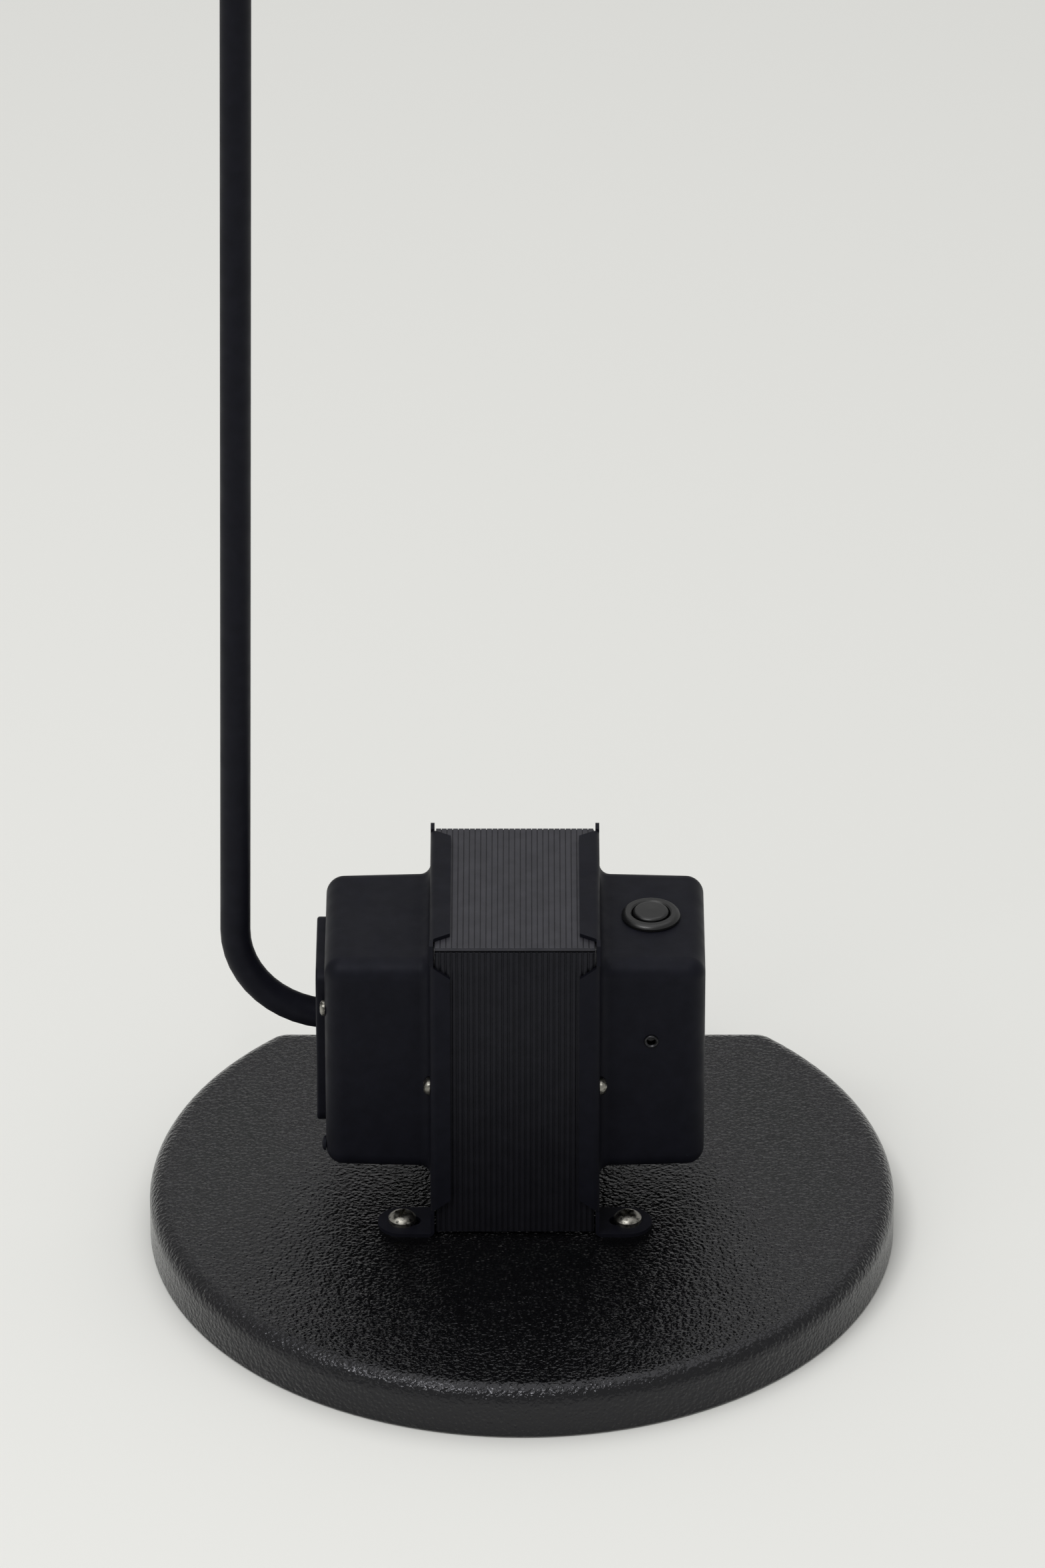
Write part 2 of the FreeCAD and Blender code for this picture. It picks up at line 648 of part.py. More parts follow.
def coil():
    bobbin = new_body("bobbin", "transformer")
    ring_pad(bobbin, "coil_low", "coil_high", "-coil_wall", "0")
    ring_pad(bobbin, "coil_low", "(coil_low + coil_wall)", "-coil_wall", "coil_build + 0.9", "3")
    ring_pad(bobbin, f"({SPLIT} - coil_wall)", SPLIT, "-coil_wall", "coil_build", "5")
    ring_pad(bobbin, "(coil_high - coil_wall)", "coil_high", "-coil_wall", "coil_build + 0.9", "3")
    for label, low, high in (("primary_winding", "(coil_low + coil_wall)", f"({SPLIT} - coil_wall)"),
                             ("secondary_winding", SPLIT, "(coil_high - coil_wall)")):
        winding = new_body(label, "transformer")
        ring_pad(winding, f"({low} + 0.1)", f"({high} - 0.1)", "0.05", "coil_build", "5")
    wrap = new_body("coil_wrap", "transformer")
    drawn = sketch(wrap, "XY_Plane", "coil_low + coil_wall + 0.1")
    for reach, corner in (("(coil_build + 0.5)", "5.4"), ("(coil_build + 0.1)", "5")):
        across, along = f"({TUBE_X} + {reach})", f"({TUBE_Y} + {reach})"
        rounded_rectangle(drawn, f"-{across}", across, f"-{along}", along, corner)
    pad(wrap, drawn, "coil_high - coil_low - 2 * coil_wall - 0.2")


# ---------------------------------------------------------------- fasteners of the transformer
def transformer_fasteners():
    reach = size(FLANGE_OUT)
    height, offset = size("core_screw_z"), size("core_screw_y")
    long_screw = seed(pan_screw("core_screw_pattern", "1.45", f"(2 * {FLANGE_OUT} + 2.3)", "2.9", "2.1"))
    heads = [TRANSFORMER.multiply(Placement(Vector(-reach, end * offset, height), ALONG_MINUS_X))
             for end in (-1, 1)]
    group("core_screws", long_screw, heads)
    nut = seed(turned("core_nut_pattern", [("1.5", 0), ("2.9", 0), ("2.9", "0.7", "2.4"), ("1.9", "2"),
                                           ("1.5", "2")]))
    group("core_nuts", nut, [TRANSFORMER.multiply(Placement(Vector(reach, end * offset, height), ALONG_X))
                             for end in (-1, 1)])
    foot_screw = seed(pan_screw("foot_screw_pattern", "2.5", "11", "4.6", "3.2"))
    sheet_top = size("bell_sheet")
    group("base_screws", foot_screw, [at(size(across), size(along), CORE.z + sheet_top, angle=turn)
                                      for (across, along), turn in zip(FOOT_HOLES, (70, 20, 35, 60))])


def hex_nut(label, bore, flats, thick, frame=None):
    body = new_body(label, frame)
    drawn = sketch(body)
    corner = f"({flats} / sqrt(3))"
    outline(drawn, [(f"{corner} * cos({angle})", f"{corner} * sin({angle})") for angle in range(0, 360, 60)])
    circle(drawn, 0, 0, bore)
    pad(body, drawn, thick)
    return body


# ---------------------------------------------------------------- push-button switch in the right bell
def switch():
    frame = TRANSFORMER.multiply(at(size("switch_x"), 0, 0))
    seat, rim = "(bell_high - 0.1)", "(bell_high - 0.1 + bezel_height)"
    lip = "(cap_radius + 0.6)"
    floor = "(bell_high - switch_deep)"
    body = turned("switch_housing", [
        ("1.6", floor), ("switch_body", floor), ("switch_body", seat), ("bezel_radius", seat),
        ("bezel_radius", f"{seat} + bezel_height * 0.4", "bezel_height * 1.2"), ("bezel_radius - 1.3", rim),
        (f"{lip} + 0.5", rim), (lip, f"{rim} - 0.4"), (lip, f"{seat} - 1.4"),
        ("switch_body - 0.9", f"{seat} - 1.4"),
        ("switch_body - 0.9", f"{floor} + 1.8"), ("1.6", f"{floor} + 1.8")], frame)
    cap_top = "(bell_high + cap_rise)"
    collar = f"({seat} - 1.7)"
    turned("switch_cap", [
        ("4.5", f"{collar} - 1.5"), ("switch_body - 1.25", f"{collar} - 1.5"), ("switch_body - 1.25", collar),
        ("cap_radius", collar), ("cap_radius", f"{cap_top} - 1.0", "1.2"),
        ("cap_radius - 1.0", f"{cap_top} - 0.3"),
        (0, cap_top), (0, f"{cap_top} - 2.4"), ("4.5", f"{cap_top} - 2.4")], frame)
    low, high = size(floor) + 1.9, size(cap_top) - 2.5
    wire, coil_radius = 0.35, 3.6
    turns = 6
    helix = Part.makeHelix((high - low - 2 * wire) / turns, high - low - 2 * wire, coil_radius)
    helix.translate(Vector(0, 0, low + wire))
    start = Part.Wire(Part.makeCircle(wire, Vector(coil_radius, 0, low + wire), Vector(0, 1, 0)))
    solid_node("switch_spring", Part.Wire(helix).makePipeShell([start], True, True), frame)
    hex_nut("switch_nut", "switch_body + 0.05", "18", "2.8", frame.multiply(at(0, 0, size(seat) - 4.8)))
    blades = [Part.makeBox(0.8, 4.8, 9, Vector(side * 4 - 0.4, -2.4, size(floor) - 9)) for side in (-1, 1)]
    solid_node("switch_terminals", Part.makeCompound(blades), frame)


def eyelet():
    """A hollow rivet in the right bell's front wall, its axis along Y."""
    wall = size("bell_half") - 0.35
    frame = TRANSFORMER.multiply(Placement(Vector(size("switch_x"), -wall, size("eyelet_z")),
                                           Rotation(Vector(1, 0, 0), 90)))
    turned("bell_eyelet", [("1.4", "-2.2"), ("2.6", "-2.2"), ("2.6", "-1.6"), ("1.9", "-1.4"), ("1.9", "0.1"),
                           ("2.4", "0.1"), ("2.4", "0.45", "0.5"), ("2.0", "0.8"), ("1.75", "0.8"),
                           ("1.4", "0.45")], frame)


# ---------------------------------------------------------------- side plate and stem
def side_plate():
    body = new_body("side_plate", "transformer", 180)
    drawn = sketch(body, "YZ_Plane", "bell_reach + 0.05")
    rounded_rectangle(drawn, "-plate_half", "plate_half",
                      "plate_mid - plate_tall / 2", "plate_mid + plate_tall / 2", "plate_corner")
    pad(body, drawn, "plate_thick")
    face = size("bell_reach + 0.05 + plate_thick")
    fillet(body, "0.9", box_test((face, None, None), (face, None, None)))
    cuts = sketch(body, "YZ_Plane", "bell_reach + plate_thick + 0.1")
    stem_slot(cuts)
    for end in (-1, 1):
        circle(cuts, 0, f"plate_mid + {end} * plate_screw", "1.6")
    pocket(body, cuts, "plate_thick + 1")
    seats = sketch(body, "YZ_Plane", "bell_reach + 0.05 + plate_thick")
    for end in (-1, 1):
        circle(seats, 0, f"plate_mid + {end} * plate_screw", "3")
    pocket(body, seats, "1.8")
    screw = seed(pan_screw("plate_screw_pattern", "1.5", "7", "2.8", "1.7"))
    face_x = -size("bell_reach + 0.05 + plate_thick - 1.75")
    heights = [size(f"plate_mid + {end} * plate_screw") for end in (-1, 1)]
    group("plate_screws", screw, [TRANSFORMER.multiply(Placement(Vector(face_x, 0, height), ALONG_MINUS_X))
                                  for height in heights])
    wall = -size("bell_reach") - 0.05
    upper, lower = (Placement(Vector(wall, -size("side_hole_y"), size(height)), ALONG_MINUS_X)
                    for height in ("earth_z", "plug_z"))
    pan_screw("earth_screw", "1.5", "6", "2.7", "1.6", TRANSFORMER.multiply(upper))
    turned("hole_plug", [(0, "-3"), ("1.4", "-3"), ("1.5", "-0.1"), ("1.5", 0), ("2.5", 0),
                         ("2.5", "0.5", "1.5"), ("1.5", "1.2"), (0, "1.4")], TRANSFORMER.multiply(lower))


def stem_socket():
    """The block inside the left bell that the plate's screws pull tight and the stem plugs into."""
    body = new_body("stem_socket", "transformer", 180)
    inside = "(bell_reach - bell_sheet - 0.1)"
    drawn = sketch(body, "YZ_Plane", f"{inside} - 3.5")
    rounded_rectangle(drawn, "-14", "14", "plate_mid - 28", "plate_mid + 28", "3")
    pad(body, drawn, "3.5")
    boss = sketch(body, "YZ_Plane", "stem_tail - 1.5")
    circle(boss, 0, "stem_exit", "9")
    pad(body, boss, f"{inside} - stem_tail + 1.5")
    bore = sketch(body, "YZ_Plane", f"{inside} + 1")
    circle(bore, 0, "stem_exit", "stem_radius + 0.05")
    pocket(body, bore, f"{inside} - stem_tail + 1")
    wire_way = sketch(body, "YZ_Plane", f"{inside} + 1")
    circle(wire_way, 0, "stem_exit", "stem_bore")
    for end in (-1, 1):
        circle(wire_way, 0, f"plate_mid + {end} * plate_screw", "1.55")
    pocket(body, wire_way, "30")
    grub_hole = sketch(body, "XY_Plane", "stem_exit - 9.5")
    circle(grub_hole, "stem_tail + 5", 0, "2")
    pocket(body, grub_hole, "4.6", forward=True)
    grub = TRANSFORMER.multiply(at(-size("stem_tail + 5"), 0, size("stem_exit - stem_radius - 0.05")))
    turned("stem_grub_screw", [(0, "-4"), ("1.9", "-4"), ("1.9", "-0.4"), ("1.5", 0), (0, 0)], grub)


def stem():
    """One bent tube: a hidden level leg, a bend and a long upright that leans in slightly."""
    body = new_body("stem_tube", "transformer")
    bend, lean = "stem_bend", "stem_lean"
    centre = ("(stem_bend - stem_out)", "(stem_exit + stem_bend)")
    path = sketch(body, "XZ_Plane")
    points = [("-stem_tail", "stem_exit"), (centre[0], "stem_exit"),
              (f"{centre[0]} - {bend} * cos({lean})", f"{centre[1]} + {bend} * sin({lean})"),
              (f"{centre[0]} - {bend} * cos({lean}) + stem_rise * sin({lean})",
               f"{centre[1]} + {bend} * sin({lean}) + stem_rise * cos({lean})")]
    places = [Vector(size(across), size(along), 0) for across, along in points]
    middle = Vector(size(centre[0]), size(centre[1]), 0)
    half_turn = math.radians(225 - size("stem_lean") / 2)
    halfway = middle + Vector(math.cos(half_turn), math.sin(half_turn), 0) * size(bend)
    path.addGeometry(Part.LineSegment(places[0], places[1]), False)
    path.addGeometry(Part.Arc(places[1], halfway, places[2]), False)
    path.addGeometry(Part.LineSegment(places[2], places[3]), False)
    for (geometry, point), (across, along) in zip(((0, 1), (0, 2), (2, 1), (2, 2)), points):
        pin_point(path, geometry, point, across, along)
    pin_point(path, 1, 3, *centre)
    doc.recompute()
    profile = sketch(body, "YZ_Plane", "-stem_tail")
    circle(profile, 0, "stem_exit", "stem_radius")
    circle(profile, 0, "stem_exit", "stem_bore")
    tube = body.newObject("PartDesign::AdditivePipe", "stem_sweep")
    tube.Profile = profile
    tube.Spine = (path, [])
    finished(body, tube)
    return places[3]


# ---------------------------------------------------------------- wiring inside the bells
def lead(points, radius, bend):
    """A wire: straight runs joined by tangent arcs of the radius bend."""
    edges = []
    start = points[0]
    for before, corner, after in zip(points, points[1:], points[2:]):
        back, ahead = (before - corner).normalize(), (after - corner).normalize()
        half = back.getAngle(ahead) / 2
        reach = bend / math.tan(half)
        enter, leave = corner + back * reach, corner + ahead * reach
        halfway = (back + ahead).normalize()
        crown = corner + halfway * (bend / math.sin(half) - bend)
        edges.append(Part.LineSegment(start, enter).toShape())
        edges.append(Part.Arc(enter, crown, leave).toShape())
        start = leave
    edges.append(Part.LineSegment(start, points[-1]).toShape())
    wire = Part.Wire(edges)
    section = Part.Wire(Part.makeCircle(radius, points[0], points[1] - points[0]))
    return wire.makePipeShell([section], True, True)


def wiring():
    block = new_body("terminal_block", "transformer")
    drawn = sketch(block, "XY_Plane", "bell_low + bell_sheet + 0.8")
    rounded_rectangle(drawn, "40", "54", "-14", "10", "1.5")
    pad(block, drawn, "9")
    wells = sketch(block, "XY_Plane", "bell_low + bell_sheet + 9.8")
    for across in (43.5, 50.5):
        for along in (-10, -2, 6):
            circle(wells, across, along, "1.9")
    pocket(block, wells, "5")
    screws = [Part.makeCylinder(1.7, 2.5, Vector(across, along, size("bell_low + bell_sheet + 5")))
              for across in (43.5, 50.5) for along in (-10, -2, 6)]
    solid_node("terminal_screws", Part.makeCompound(screws), TRANSFORMER)
    cutout = Part.makeBox(3.4, 14, 9, Vector(size(TUBE_X) + 8.3, -7, 50))
    solid_node("thermal_cutout", cutout.makeFillet(0.8, cutout.Edges), TRANSFORMER)
    low = size("bell_low + bell_sheet + 10.2")
    blade = size("bell_high - switch_deep - 9.2")
    middle = size("plate_mid")
    paths = [
        [Vector(57, -2, low - 4), Vector(57, -2, low + 8), Vector(49, 0, low + 20), Vector(49, 0, blade)],
        [Vector(57, 6, low - 4), Vector(57, 6, low + 12), Vector(45, 9, low + 22), Vector(45, 9, middle + 4),
         Vector(41, 0, middle + 6), Vector(41, 0, blade)],
        [Vector(-size("stem_tail") + 2.5, 0, size("stem_exit")), Vector(-41.5, 0, size("stem_exit")),
         Vector(-39.5, 12, size("stem_exit") + 8), Vector(-39.5, 12, size("stem_exit") + 22)],
    ]
    solid_node("lead_wires", Part.makeCompound([lead(path, 0.9, 2.5) for path in paths]), TRANSFORMER)
    wall = size("bell_half") - 0.35
    frame = TRANSFORMER.multiply(Placement(Vector(size("switch_x"), wall, size("cord_z")),
                                           Rotation(Vector(1, 0, 0), -90)))
    turned("cord_grommet", [("3.6", "-3.0"), ("7.2", "-3.0"), ("7.6", "-2.6"), ("7.6", "-1.5"),
                            ("6.0", "-1.4"), ("6.0", "0.25"), ("8.2", "0.25"), ("8.2", "1.2"),
                            ("7.4", "2.2"), ("5.6", "2.4"),
                            ("5.2", "5.0"), ("4.6", "5.6"), ("3.6", "5.6")], frame)


# ---------------------------------------------------------------- elbow, arm and head
def fork(body, axis_z, inner, outer, radius, root_z, hole):
    """Two ears either side of the middle, round about the hinge axis at the height axis_z."""
    for lift in (inner, f"-{outer}"):
        drawn = sketch(body, "XZ_Plane", lift)
        outline(drawn, [(f"-{radius}", root_z), (radius, root_z), (radius, axis_z, radius),
                        (0, f"{axis_z} + {radius}", radius), (f"-{radius}", axis_z)])
        pad(body, drawn, f"{outer} - {inner}")
    bore = sketch(body, "XZ_Plane", f"{outer} + 1")
    circle(bore, 0, axis_z, hole)
    pocket(body, bore, f"2 * {outer} + 2")


def elbow(stem_top):
    turned("stem_ferrule", [
        ("stem_radius + 0.03", "-14"), ("ferrule_radius - 0.6", "-14"), ("ferrule_radius", "-13.4"),
        ("ferrule_radius", "5.4"), ("ferrule_radius - 0.6", "6"), ("4", "6"), ("4", "21.9"), ("2.05", "21.9"),
        ("2.05", "0.1"), ("stem_radius + 0.03", "0.1")], stem_top)
    swivel = new_body("swivel_fork", stem_top)
    hub = sketch(swivel, "XY_Plane", "6.3")
    circle(hub, 0, 0, "ferrule_radius")
    circle(hub, 0, 0, "4.05")
    pad(swivel, hub, "15.4")
    fork(swivel, "(elbow_height + 6)", "ear_inner", "ear_outer", "ear_radius", "17", "pin_radius + 0.03")
    turned("swivel_washer", [("2.1", "22"), ("6.2", "22"), ("6.2", "23"), ("2.1", "23")], stem_top)
    pan_screw("swivel_screw", "2", "12", "3.8", "2.2", stem_top.multiply(at(0, 0, 23.05)))
    axis = stem_top.multiply(at(0, 0, size("elbow_height + 6")))
    to_back = axis.multiply(Placement(Vector(0, size("ear_outer"), 0), Rotation(Vector(1, 0, 0), -90)))
    pan_screw("elbow_screw", "pin_radius", "(2 * ear_outer + 8)", "6", "3", to_back)
    to_front = axis.multiply(Placement(Vector(0, -size("ear_outer") - 0.3, 0), Rotation(Vector(1, 0, 0), 90)))
    knob = turned("elbow_knob", [("pin_radius + 0.05", 0), ("7", 0), ("9", "2"), ("9", "10"), ("7.8", "11.5"),
                                 (0, "11.5"), (0, "8.6"), ("pin_radius + 0.05", "8.6")], to_front)
    scallop = sketch(knob, "XY_Plane", "11.6")
    circle(scallop, "10.4", 0, "2")
    notch = pocket(knob, scallop, "9")
    polar(knob, notch, 12)
    rings = []
    for side in (-1, 1):
        ring = Part.makeCylinder(7, 1.1, Vector(0, side * 5.9 - 0.55, 0), Vector(0, 1, 0))
        rings.append(ring.cut(Part.makeCylinder(3.05, 3, Vector(0, side * 5.9 - 1.5, 0), Vector(0, 1, 0))))
    solid_node("friction_washers", Part.makeCompound(rings), axis)
    return axis


def arm(axis):
    frame = axis.multiply(at(0, 0, 0, (0, 1, 0), -size("arm_rise")))
    length = "arm_length"
    hub = new_body("arm_hub", frame)
    barrel = sketch(hub, "XZ_Plane", "-5.05")
    circle(barrel, 0, 0, "7")
    pad(hub, barrel, "10.1")
    socket = sketch(hub, "YZ_Plane", "2")
    circle(socket, 0, 0, "5.2")
    pad(hub, socket, "22")
    bore = sketch(hub, "XZ_Plane", "6")
    circle(bore, 0, 0, "pin_radius + 0.05")
    pocket(hub, bore, "12")
    sleeve = sketch(hub, "YZ_Plane", "25")
    circle(sleeve, 0, 0, "arm_radius + 0.03")
    pocket(hub, sleeve, "16")
    tube = new_body("arm_tube", frame)
    section = sketch(tube, "YZ_Plane", "9.2")
    circle(section, 0, 0, "arm_radius")
    circle(section, 0, 0, "arm_radius - 1")
    pad(tube, section, f"{length} - 21.2")
    end = new_body("arm_end_fork", frame)
    grip = sketch(end, "YZ_Plane", f"{length} - 28")
    circle(grip, 0, 0, "5.2")
    pad(end, grip, "18")
    web = sketch(end, "YZ_Plane", f"{length} - 12")
    rectangle(web, "-7.5", "7.5", "-5.2", "5.2")
    pad(end, web, "3")
    for lift in ("5", "-7.5"):
        ear = sketch(end, "XZ_Plane", lift)
        outline(ear, [(f"{length} - 12", "-5.2"), (length, "-5.2", "5.2"), (f"{length} + 5.2", 0, "5.2"),
                      (length, "5.2"), (f"{length} - 12", "5.2")])
        pad(end, ear, "2.5")
    eye = sketch(end, "XZ_Plane", "8")
    circle(eye, length, 0, "2.53")
    pocket(end, eye, "16")
    seat = sketch(end, "YZ_Plane", f"{length} - 29")
    circle(seat, 0, 0, "arm_radius + 0.03")
    pocket(end, seat, "17.2", forward=True)
    return frame.multiply(at(size(length), 0, 0))


def head(arm_end):
    to_back = arm_end.multiply(Placement(Vector(0, 7.5, 0), Rotation(Vector(1, 0, 0), -90)))
    pan_screw("head_screw", "2.5", "18.5", "4.6", "2.6", to_back)
    to_front = arm_end.multiply(Placement(Vector(0, -7.55, 0), Rotation(Vector(1, 0, 0), 90)))
    hex_nut("head_nut", "2.55", "8", "3.6", to_front)
    rings = []
    for side in (-1, 1):
        ring = Part.makeCylinder(5, 0.9, Vector(0, side * 4.5 - 0.45, 0), Vector(0, 1, 0))
        rings.append(ring.cut(Part.makeCylinder(2.55, 3, Vector(0, side * 4.5 - 1.5, 0), Vector(0, 1, 0))))
    solid_node("head_washers", Part.makeCompound(rings), arm_end)
    frame = Placement(arm_end.Base, Rotation())
    hub = new_body("head_hub", frame)
    barrel = sketch(hub, "XZ_Plane", "-3.7")
    circle(barrel, 0, 0, "5.5")
    pad(hub, barrel, "7.4")
    neck = sketch(hub, "XY_Plane", "-16.4")
    circle(neck, 0, 0, "3.6")
    pad(hub, neck, "13")
    thread = sketch(hub, "XY_Plane", "-23")
    circle(thread, 0, 0, "3")
    pad(hub, thread, "7")
    eye = sketch(hub, "XZ_Plane", "5")
    circle(eye, 0, 0, "2.55")
    pocket(hub, eye, "10")
    mouth = "(-16.5 - shade_tall)"
    shade = turned("shade", [
        ("3.05", "-16.5 - shade_sheet"), ("shade_crown - 2.4", "-16.5 - shade_sheet"),
        ("shade_crown - 1.2", "-19.4"), ("shade_mouth - 1.2", mouth), ("shade_mouth", mouth),
        ("shade_crown", "-18.5"), ("shade_crown - 1.6", "-16.5"), ("3.05", "-16.5")], frame)
    vent = sketch(shade, "XY_Plane", "-16")
    circle(vent, "8.6", 0, "1.5")
    slot = pocket(shade, vent, "3")
    polar(shade, slot, 8)
    hex_nut("shade_nut", "3.05", "9", "3.2", frame.multiply(at(0, 0, -20.9)))
    holder = turned("lampholder", [(0, "-34"), ("7.5", "-34"), ("8.5", "-33"), ("8.5", "-21.6"),
                                   ("3.05", "-21.6"),
                                   ("3.05", "-23.1"), (0, "-23.1")], frame)
    sockets = sketch(holder, "XY_Plane", "-34")
    for side in (-1, 1):
        circle(sockets, f"{side} * 2", 0, "0.6")
    pocket(holder, sockets, "7", forward=True)
    rim = f"{mouth} + 3.4"
    turned("reflector", [("9.2", "-28.6", "-140"), ("shade_mouth - 4.4", rim),
                         ("shade_mouth - 3.8", rim, "140.6"),
                         ("9.2", "-28")], frame)
    turned("shade_glass", [(0, f"{mouth} + 1.0"), ("shade_mouth - 3.2", f"{mouth} + 1.0"),
                           ("shade_mouth - 3.2", f"{mouth} + 3.0"), (0, f"{mouth} + 3.0")], frame)
    turned("glass_ring", [("shade_mouth - 5", f"{mouth} + 0.1"), ("shade_mouth - 1.5", f"{mouth} + 0.1"),
                          ("shade_mouth - 1.9", f"{mouth} + 0.9"), ("shade_mouth - 5", f"{mouth} + 0.9")],
           frame)
    turned("bulb", [(0, "-50"), ("2.5", "-49.5"), ("4.6", "-47.4"), ("5.2", "-45"), ("5.2", "-39.5"),
                    ("3.2", "-36.4"), ("3.2", "-34.1"), (0, "-34.1")], frame)
    pins = [Part.makeCylinder(0.5, 6, Vector(side * 2, 0, -34.05)) for side in (-1, 1)]
    solid_node("bulb_pins", Part.makeCompound(pins), frame)
    slope = math.degrees(math.atan2(size("shade_mouth - shade_crown"), size("shade_tall") - 2))
    drop = size(mouth) + 7
    wall = size("shade_mouth") - (drop - size(mouth)) * math.tan(math.radians(slope))
    outward = Vector(math.cos(math.radians(slope)), 0, math.sin(math.radians(slope)))
    foot = Vector(wall, 0, drop) + outward * 0.3
    handle = frame.multiply(Placement(foot, Rotation(Vector(0, 1, 0), 90 - slope)))
    turned("shade_handle", [(0, 0), ("3.6", 0), ("3.6", "1.6"), ("2.2", "2.6"), ("2.2", "9"), ("3.4", "12"),
                            ("4", "20"), ("3.2", "23.4"), (0, "24")], handle)


def lamp_top():
    top = stem()
    frame = TRANSFORMER.multiply(at(top.x, 0, top.y, (0, 1, 0), size("stem_lean")))
    head(arm(elbow(frame)))


# ---------------------------------------------------------------- build and write
BUILDERS = [base_casting, base_pad, covers, right_end_bell, left_end_bell, core, coil, transformer_fasteners,
            switch, eyelet, side_plate, stem_socket, wiring, lamp_top]

for builder in BUILDERS:
    builder()
doc.recompute()

for item in doc.Objects:
    if "Invalid" in item.State or "Error" in item.State:
        raise RuntimeError(f"{item.Label} failed: {item.State}")
for node in NODES:
    if node.Shape.isNull() or not node.Shape.isValid():
        raise RuntimeError(f"{node.Label} has no valid shape")

os.makedirs("parts", exist_ok=True)
for node in NODES:
    node.Shape.exportStep(f"parts/{node.Label}.step")
    box = node.Shape.BoundBox
    print(f"{node.Label:22} {len(node.Shape.Solids)} solids {node.Shape.Volume:12.1f} mm3 "
          f"x {box.XMin:7.1f} {box.XMax:7.1f} y {box.YMin:7.1f} {box.YMax:7.1f} "
          f"z {box.ZMin:7.1f} {box.ZMax:7.1f}")
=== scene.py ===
import json
import math

import bpy
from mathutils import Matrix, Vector

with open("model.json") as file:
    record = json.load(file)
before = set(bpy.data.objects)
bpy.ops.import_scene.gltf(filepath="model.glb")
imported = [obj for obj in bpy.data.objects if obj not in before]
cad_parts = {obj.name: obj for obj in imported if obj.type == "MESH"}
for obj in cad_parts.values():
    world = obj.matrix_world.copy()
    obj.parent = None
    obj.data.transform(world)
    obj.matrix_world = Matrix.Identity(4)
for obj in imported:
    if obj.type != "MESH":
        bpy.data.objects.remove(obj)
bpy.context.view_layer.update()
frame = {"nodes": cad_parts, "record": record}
NODES = frame["nodes"]
MM = 0.001
WAVE_PERIOD = math.tau / 20.0
FLOOR_REACH = 6.0
BENCH_MIDDLE = Vector((0, 0, 0.08))


# ---------------------------------------------------------------- material helpers
class Material:
    """A Principled material, plus short calls for the procedural detail on it."""

    def __init__(self, name, color, roughness, metallic=0.0):
        self.material = bpy.data.materials.new(name)
        self.material.use_nodes = True
        self.tree = self.material.node_tree
        self.shader = self.tree.nodes["Principled BSDF"]
        self.set("Base Color", (*color, 1.0))
        self.set("Roughness", roughness)
        self.set("Metallic", metallic)
        self.place = self.add("ShaderNodeTexCoord").outputs["Object"]
        self.relief = None

    def set(self, socket, value):
        self.shader.inputs[socket].default_value = value

    def add(self, kind):
        return self.tree.nodes.new(kind)

    def link(self, source, target):
        self.tree.links.new(source, target)

    def scaled_place(self, size):
        """Object coordinates in which one unit is size metres long."""
        mapping = self.add("ShaderNodeMapping")
        mapping.inputs["Scale"].default_value = (1.0 / size,) * 3
        self.link(self.place, mapping.inputs["Vector"])
        return mapping.outputs["Vector"]

    def noise(self, size, detail=2.0):
        """Noise whose features are about size metres across."""
        place = self.scaled_place(size)
        texture = self.add("ShaderNodeTexNoise")
        texture.inputs["Scale"].default_value = 1.0
        texture.inputs["Detail"].default_value = detail
        self.link(place, texture.inputs["Vector"])
        return texture.outputs["Fac"]

    def cells(self, size, smooth):
        """Rounded cells about size metres across, high in the middle."""
        place = self.scaled_place(size)
        texture = self.add("ShaderNodeTexVoronoi")
        texture.feature = "SMOOTH_F1"
        texture.inputs["Scale"].default_value = 1.0
        texture.inputs["Smoothness"].default_value = smooth
        self.link(place, texture.inputs["Vector"])
        return self.remap(texture.outputs["Distance"], 0.0, 0.8, 1.0, 0.0)

    def lines(self, pitch, axis):
        """Round threads of that pitch across one axis."""
        texture = self.add("ShaderNodeTexWave")
        texture.bands_direction = axis
        texture.wave_profile = "SIN"
        texture.inputs["Scale"].default_value = WAVE_PERIOD / pitch
        self.link(self.place, texture.inputs["Vector"])
        return texture.outputs["Fac"]

    def remap(self, value, low, high, new_low, new_high):
        node = self.add("ShaderNodeMapRange")
        node.inputs["From Min"].default_value = low
        node.inputs["From Max"].default_value = high
        node.inputs["To Min"].default_value = new_low
        node.inputs["To Max"].default_value = new_high
        self.link(value, node.inputs["Value"])
        return node.outputs["Result"]

    def color_by(self, factor, low, high):
        """The base colour goes from low to high as the factor goes from 0 to 1."""
        node = self.add("ShaderNodeMix")
        node.data_type = "RGBA"
        start = next(socket for socket in node.inputs if socket.identifier == "A_Color")
        end = next(socket for socket in node.inputs if socket.identifier == "B_Color")
        mixed = next(socket for socket in node.outputs if socket.identifier == "Result_Color")
        start.default_value = (*low, 1.0)
        end.default_value = (*high, 1.0)
        self.link(factor, node.inputs["Factor"])
        self.link(mixed, self.shader.inputs["Base Color"])

    def roughness_by(self, value, low, high):
        """The roughness goes from low to high as a noise goes over its usual range."""
        self.link(self.remap(value, 0.3, 0.7, low, high), self.shader.inputs["Roughness"])

    def bump(self, value, depth, strength=1.0):
        """A relief of about depth metres, laid over the reliefs already there."""
        node = self.add("ShaderNodeBump")
        node.inputs["Distance"].default_value = depth
        node.inputs["Strength"].default_value = strength
        self.link(value, node.inputs["Height"])
        if self.relief is not None:
            self.link(self.relief, node.inputs["Normal"])
        self.relief = node.outputs["Normal"]
        self.link(self.relief, self.shader.inputs["Normal"])


